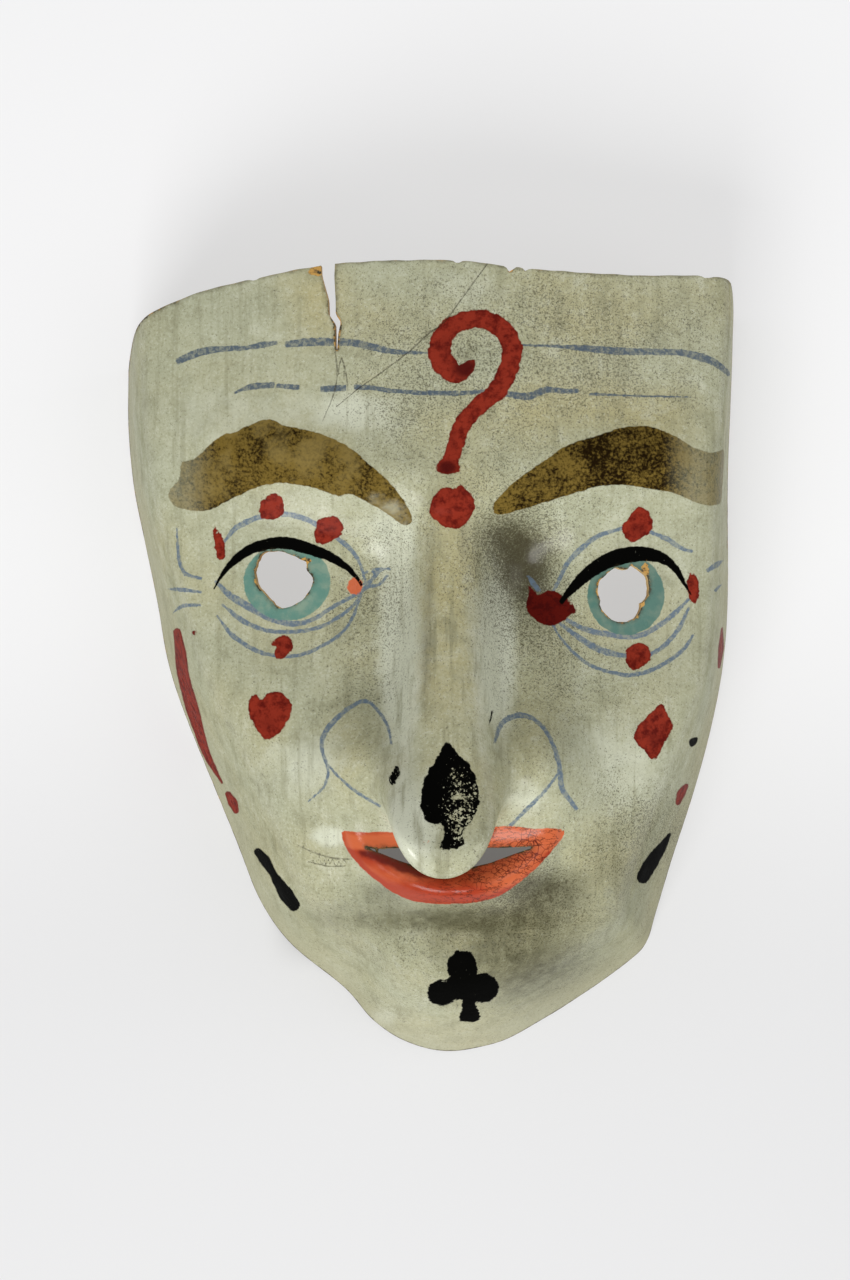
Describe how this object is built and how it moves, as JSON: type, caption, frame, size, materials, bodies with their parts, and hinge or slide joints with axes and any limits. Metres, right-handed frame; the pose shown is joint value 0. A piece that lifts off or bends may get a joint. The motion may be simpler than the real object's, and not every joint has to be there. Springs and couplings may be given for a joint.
{
  "type": "carnival mask",
  "caption": "Full face carnival mask moulded in thin paper pulp, with small eye holes, a slot between the lips and a split forehead rim.",
  "frame": {"origin": "middle of the bounding box in plan, at the plane of the rim that the mask lies on", "axes": "+Z out of the face and up as it lies, +Y from the chin to the forehead, +X to the right as seen from the front"},
  "size_m": [0.16, 0.203, 0.0989],
  "materials": {
    "painted_pulp": "grey-green painted ground with dark speckle under satin varnish, and a bare ochre core at broken edges"
  },
  "bodies": {
    "root": {"mask": "painted_pulp"}
  },
  "joints": []
}
